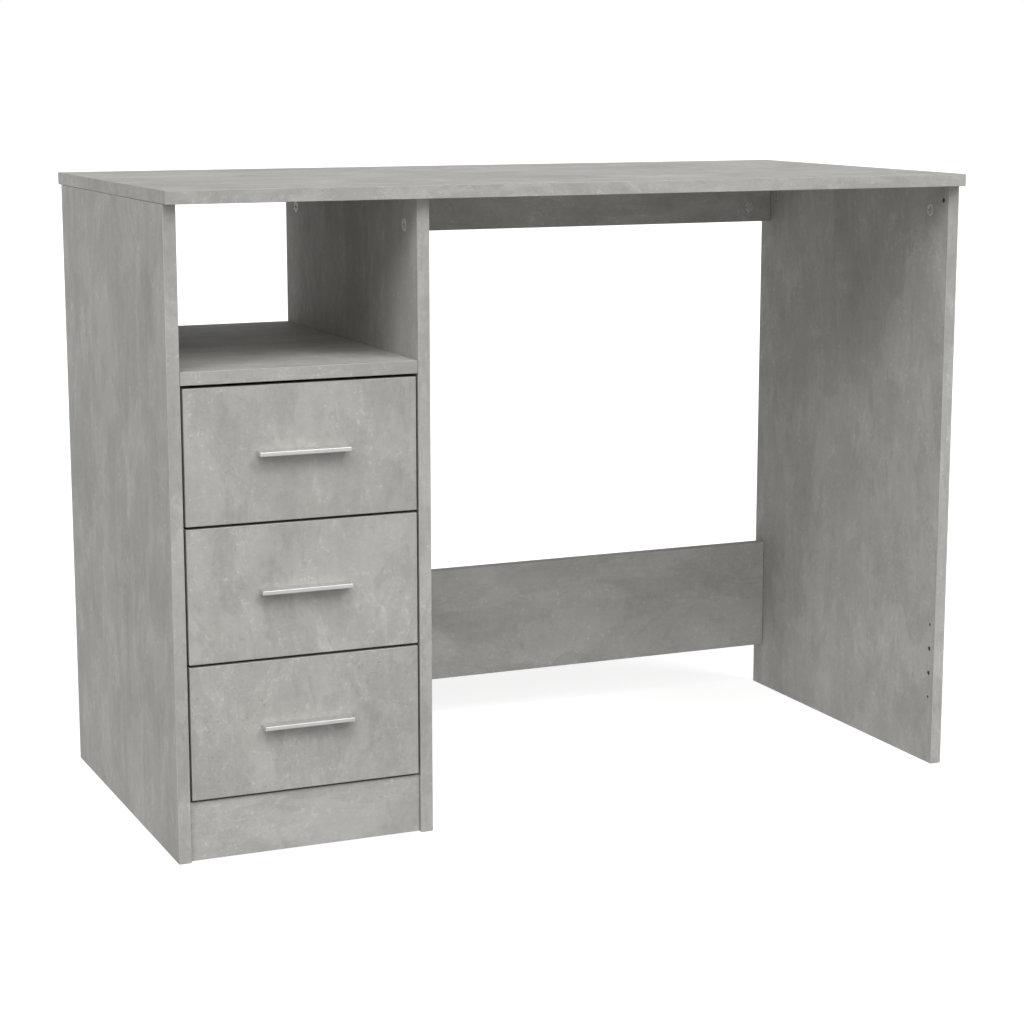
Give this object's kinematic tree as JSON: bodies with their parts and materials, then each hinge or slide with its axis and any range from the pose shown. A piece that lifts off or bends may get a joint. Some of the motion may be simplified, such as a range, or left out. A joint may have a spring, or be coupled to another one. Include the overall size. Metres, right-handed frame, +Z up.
{
  "type": "writing desk",
  "caption": "Writing desk in concrete-look board: worktop on end panels, an open niche over a drawer stack on the left, a knee space with rear bracing boards on the right.",
  "frame": {"origin": "on the floor, under the middle of the whole desk", "axes": "+X to the right along the desk's width, -Y to the front where the user sits and the drawers open, +Z up"},
  "size_m": [1.02, 0.5, 0.76],
  "materials": {
    "concrete_decor": "matt cloudy concrete-look melamine with fine vertical streaks",
    "drawer_board": "matt light grey melamine",
    "hardboard": "thin light grey lacquered hardboard",
    "handle_metal": "satin silver",
    "runner_steel": "white powder coat",
    "roller_plastic": "white nylon",
    "cam_zinc": "dull zinc"
  },
  "bodies": {
    "carcass": {"desk_top": "concrete_decor", "left_side_panel": "concrete_decor", "partition_panel": "concrete_decor", "right_side_panel": "concrete_decor", "niche_shelf": "concrete_decor", "plinth_board": "concrete_decor", "bottom_board": "concrete_decor", "drawer_bay_back": "hardboard", "upper_rear_rail": "concrete_decor", "lower_rear_board": "concrete_decor", "left_front_cam": "cam_zinc", "left_rear_cam": "cam_zinc", "partition_front_cam": "cam_zinc", "partition_rear_cam": "cam_zinc", "right_front_cam": "cam_zinc", "right_rear_cam": "cam_zinc", "rail_left_cam": "cam_zinc", "rail_right_cam": "cam_zinc", "drawer_1_left_channel": "runner_steel", "drawer_1_right_channel": "runner_steel", "drawer_2_left_channel": "runner_steel", "drawer_2_right_channel": "runner_steel", "drawer_3_left_channel": "runner_steel", "drawer_3_right_channel": "runner_steel"},
    "drawer_1": {"drawer_1_front": "concrete_decor", "drawer_1_left_side": "drawer_board", "drawer_1_right_side": "drawer_board", "drawer_1_back": "drawer_board", "drawer_1_bottom": "hardboard", "drawer_1_handle": "handle_metal", "drawer_1_left_runner": "runner_steel", "drawer_1_right_runner": "runner_steel"},
    "drawer_1_left_front_roller": {"drawer_1_left_front_roller": "roller_plastic"},
    "drawer_1_left_rear_roller": {"drawer_1_left_rear_roller": "roller_plastic"},
    "drawer_1_right_front_roller": {"drawer_1_right_front_roller": "roller_plastic"},
    "drawer_1_right_rear_roller": {"drawer_1_right_rear_roller": "roller_plastic"},
    "drawer_2": {"drawer_2_front": "concrete_decor", "drawer_2_left_side": "drawer_board", "drawer_2_right_side": "drawer_board", "drawer_2_back": "drawer_board", "drawer_2_bottom": "hardboard", "drawer_2_handle": "handle_metal", "drawer_2_left_runner": "runner_steel", "drawer_2_right_runner": "runner_steel"},
    "drawer_2_left_front_roller": {"drawer_2_left_front_roller": "roller_plastic"},
    "drawer_2_left_rear_roller": {"drawer_2_left_rear_roller": "roller_plastic"},
    "drawer_2_right_front_roller": {"drawer_2_right_front_roller": "roller_plastic"},
    "drawer_2_right_rear_roller": {"drawer_2_right_rear_roller": "roller_plastic"},
    "drawer_3": {"drawer_3_front": "concrete_decor", "drawer_3_left_side": "drawer_board", "drawer_3_right_side": "drawer_board", "drawer_3_back": "drawer_board", "drawer_3_bottom": "hardboard", "drawer_3_handle": "handle_metal", "drawer_3_left_runner": "runner_steel", "drawer_3_right_runner": "runner_steel"},
    "drawer_3_left_front_roller": {"drawer_3_left_front_roller": "roller_plastic"},
    "drawer_3_left_rear_roller": {"drawer_3_left_rear_roller": "roller_plastic"},
    "drawer_3_right_front_roller": {"drawer_3_right_front_roller": "roller_plastic"},
    "drawer_3_right_rear_roller": {"drawer_3_right_rear_roller": "roller_plastic"}
  },
  "joints": [
    {"name": "drawer_1_slide", "type": "slide", "parent": "carcass", "child": "drawer_1", "axis": [0, -1, 0], "range_m": [0, 0.29]},
    {"name": "drawer_1_left_front_roller_spin", "type": "hinge", "parent": "carcass", "child": "drawer_1_left_front_roller", "pos_m": [-0.489, -0.2044, 0.4154], "axis": [1, 0, 0], "range_deg": [0, 1330]},
    {"name": "drawer_1_left_rear_roller_spin", "type": "hinge", "parent": "drawer_1", "child": "drawer_1_left_rear_roller", "pos_m": [-0.489, 0.1533, 0.4154], "axis": [1, 0, 0], "range_deg": [0, 1330]},
    {"name": "drawer_1_right_front_roller_spin", "type": "hinge", "parent": "carcass", "child": "drawer_1_right_front_roller", "pos_m": [-0.221, -0.2044, 0.4154], "axis": [1, 0, 0], "range_deg": [0, 1330]},
    {"name": "drawer_1_right_rear_roller_spin", "type": "hinge", "parent": "drawer_1", "child": "drawer_1_right_rear_roller", "pos_m": [-0.221, 0.1533, 0.4154], "axis": [1, 0, 0], "range_deg": [0, 1330]},
    {"name": "drawer_2_slide", "type": "slide", "parent": "carcass", "child": "drawer_2", "axis": [0, -1, 0], "range_m": [0, 0.29]},
    {"name": "drawer_2_left_front_roller_spin", "type": "hinge", "parent": "carcass", "child": "drawer_2_left_front_roller", "pos_m": [-0.489, -0.2044, 0.2577], "axis": [1, 0, 0], "range_deg": [0, 1330]},
    {"name": "drawer_2_left_rear_roller_spin", "type": "hinge", "parent": "drawer_2", "child": "drawer_2_left_rear_roller", "pos_m": [-0.489, 0.1533, 0.2577], "axis": [1, 0, 0], "range_deg": [0, 1330]},
    {"name": "drawer_2_right_front_roller_spin", "type": "hinge", "parent": "carcass", "child": "drawer_2_right_front_roller", "pos_m": [-0.221, -0.2044, 0.2577], "axis": [1, 0, 0], "range_deg": [0, 1330]},
    {"name": "drawer_2_right_rear_roller_spin", "type": "hinge", "parent": "drawer_2", "child": "drawer_2_right_rear_roller", "pos_m": [-0.221, 0.1533, 0.2577], "axis": [1, 0, 0], "range_deg": [0, 1330]},
    {"name": "drawer_3_slide", "type": "slide", "parent": "carcass", "child": "drawer_3", "axis": [0, -1, 0], "range_m": [0, 0.29]},
    {"name": "drawer_3_left_front_roller_spin", "type": "hinge", "parent": "carcass", "child": "drawer_3_left_front_roller", "pos_m": [-0.489, -0.2044, 0.1], "axis": [1, 0, 0], "range_deg": [0, 1330]},
    {"name": "drawer_3_left_rear_roller_spin", "type": "hinge", "parent": "drawer_3", "child": "drawer_3_left_rear_roller", "pos_m": [-0.489, 0.1533, 0.1], "axis": [1, 0, 0], "range_deg": [0, 1330]},
    {"name": "drawer_3_right_front_roller_spin", "type": "hinge", "parent": "carcass", "child": "drawer_3_right_front_roller", "pos_m": [-0.221, -0.2044, 0.1], "axis": [1, 0, 0], "range_deg": [0, 1330]},
    {"name": "drawer_3_right_rear_roller_spin", "type": "hinge", "parent": "drawer_3", "child": "drawer_3_right_rear_roller", "pos_m": [-0.221, 0.1533, 0.1], "axis": [1, 0, 0], "range_deg": [0, 1330]}
  ],
  "couplings": [
    {"joint": "drawer_1_left_front_roller_spin", "follows": "drawer_1_slide", "rad_per_m": 80},
    {"joint": "drawer_1_left_rear_roller_spin", "follows": "drawer_1_slide", "rad_per_m": 80},
    {"joint": "drawer_1_right_front_roller_spin", "follows": "drawer_1_slide", "rad_per_m": 80},
    {"joint": "drawer_1_right_rear_roller_spin", "follows": "drawer_1_slide", "rad_per_m": 80},
    {"joint": "drawer_2_left_front_roller_spin", "follows": "drawer_2_slide", "rad_per_m": 80},
    {"joint": "drawer_2_left_rear_roller_spin", "follows": "drawer_2_slide", "rad_per_m": 80},
    {"joint": "drawer_2_right_front_roller_spin", "follows": "drawer_2_slide", "rad_per_m": 80},
    {"joint": "drawer_2_right_rear_roller_spin", "follows": "drawer_2_slide", "rad_per_m": 80},
    {"joint": "drawer_3_left_front_roller_spin", "follows": "drawer_3_slide", "rad_per_m": 80},
    {"joint": "drawer_3_left_rear_roller_spin", "follows": "drawer_3_slide", "rad_per_m": 80},
    {"joint": "drawer_3_right_front_roller_spin", "follows": "drawer_3_slide", "rad_per_m": 80},
    {"joint": "drawer_3_right_rear_roller_spin", "follows": "drawer_3_slide", "rad_per_m": 80}
  ]
}
